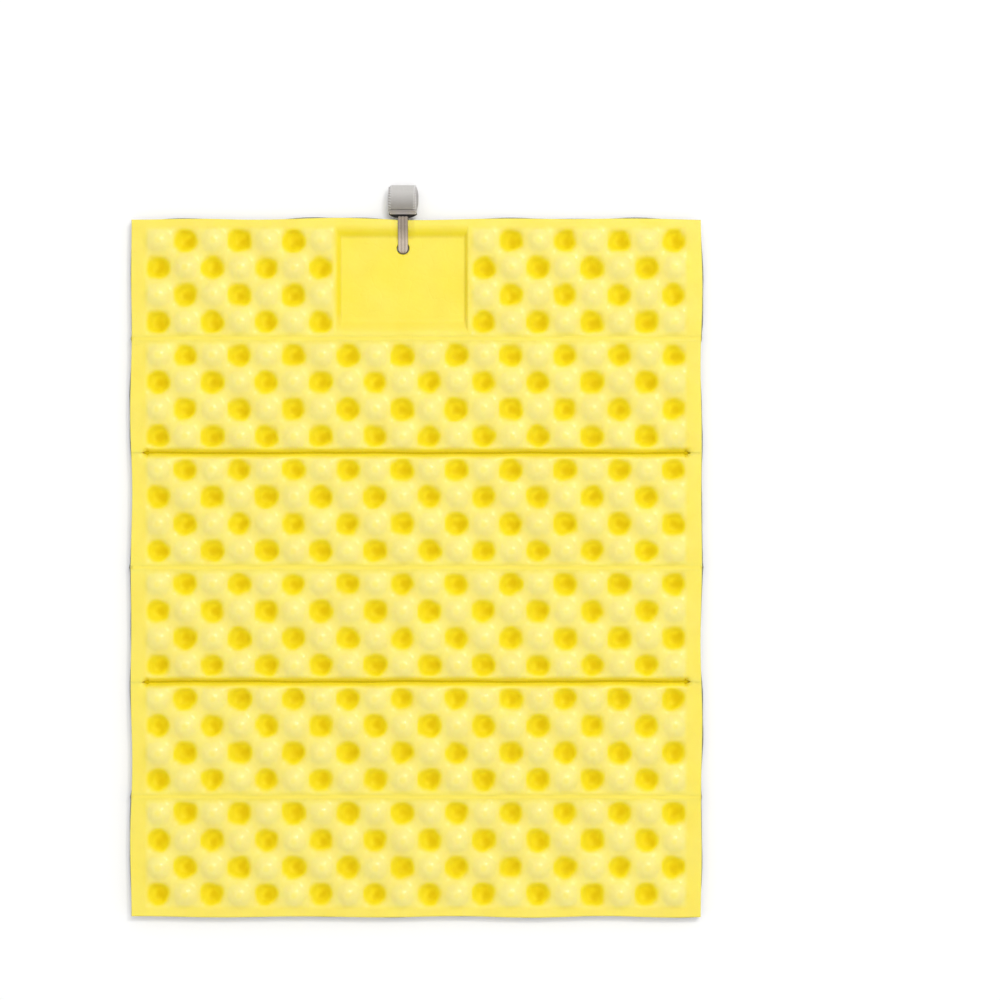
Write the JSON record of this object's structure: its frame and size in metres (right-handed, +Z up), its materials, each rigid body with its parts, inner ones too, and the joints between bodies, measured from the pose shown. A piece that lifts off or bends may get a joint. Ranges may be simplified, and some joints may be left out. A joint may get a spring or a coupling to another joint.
{
  "type": "folding foam sleeping pad",
  "caption": "Accordion-folding egg-crate foam sleeping pad, yellow foam over silver film, with a rolled hook-and-loop strap.",
  "frame": {"origin": "middle of the bottom face of the bounding box, on the surface that the open pad lies on", "axes": "+Y along the pad's length towards the strap end, +X across its width, +Z up out of the yellow foam face"},
  "size_m": [0.57, 0.731, 0.02],
  "materials": {
    "foam": "matte",
    "silver_film": "satin",
    "strap": "matte",
    "hook_tab": "matte"
  },
  "bodies": {
    "panel_1": {"foam_panel_1": "foam", "film_panel_1": "silver_film", "fold_web_1": "foam", "strap_neck_loop": "strap"},
    "panel_2": {"foam_panel_2": "foam", "film_panel_2": "silver_film", "fold_web_2": "silver_film"},
    "panel_3": {"foam_panel_3": "foam", "film_panel_3": "silver_film", "fold_web_3": "foam"},
    "panel_4": {"foam_panel_4": "foam", "film_panel_4": "silver_film", "fold_web_4": "silver_film"},
    "panel_5": {"foam_panel_5": "foam", "film_panel_5": "silver_film", "fold_web_5": "foam"},
    "panel_6": {"foam_panel_6": "foam", "film_panel_6": "silver_film"},
    "strap": {"strap_shoulder": "strap", "strap_roll": "strap", "strap_hook_tab": "hook_tab"}
  },
  "joints": [
    {"name": "fold_1", "type": "hinge", "parent": "panel_1", "child": "panel_2", "pos_m": [0, 0.2117, 0.0145], "axis": [-1, 0, 0], "range_deg": [0, 179.5]},
    {"name": "fold_2", "type": "hinge", "parent": "panel_2", "child": "panel_3", "pos_m": [0, 0.0973, 0.0055], "axis": [1, 0, 0], "range_deg": [0, 179.5]},
    {"name": "fold_3", "type": "hinge", "parent": "panel_3", "child": "panel_4", "pos_m": [0, -0.0171, 0.0145], "axis": [-1, 0, 0], "range_deg": [0, 179.5]},
    {"name": "fold_4", "type": "hinge", "parent": "panel_4", "child": "panel_5", "pos_m": [0, -0.1315, 0.0055], "axis": [1, 0, 0], "range_deg": [0, 179.5]},
    {"name": "fold_5", "type": "hinge", "parent": "panel_5", "child": "panel_6", "pos_m": [0, -0.2459, 0.0145], "axis": [-1, 0, 0], "range_deg": [0, 179.5]},
    {"name": "strap_swing", "type": "hinge", "parent": "panel_1", "child": "strap", "pos_m": [-0.01355, 0.3343, 0.01], "axis": [1, 0, 0], "range_deg": [0, 70]}
  ],
  "couplings": [
    {"joint": "fold_2", "follows": "fold_1", "ratio": 1},
    {"joint": "fold_3", "follows": "fold_1", "ratio": 1},
    {"joint": "fold_4", "follows": "fold_1", "ratio": 1},
    {"joint": "fold_5", "follows": "fold_1", "ratio": 1}
  ]
}
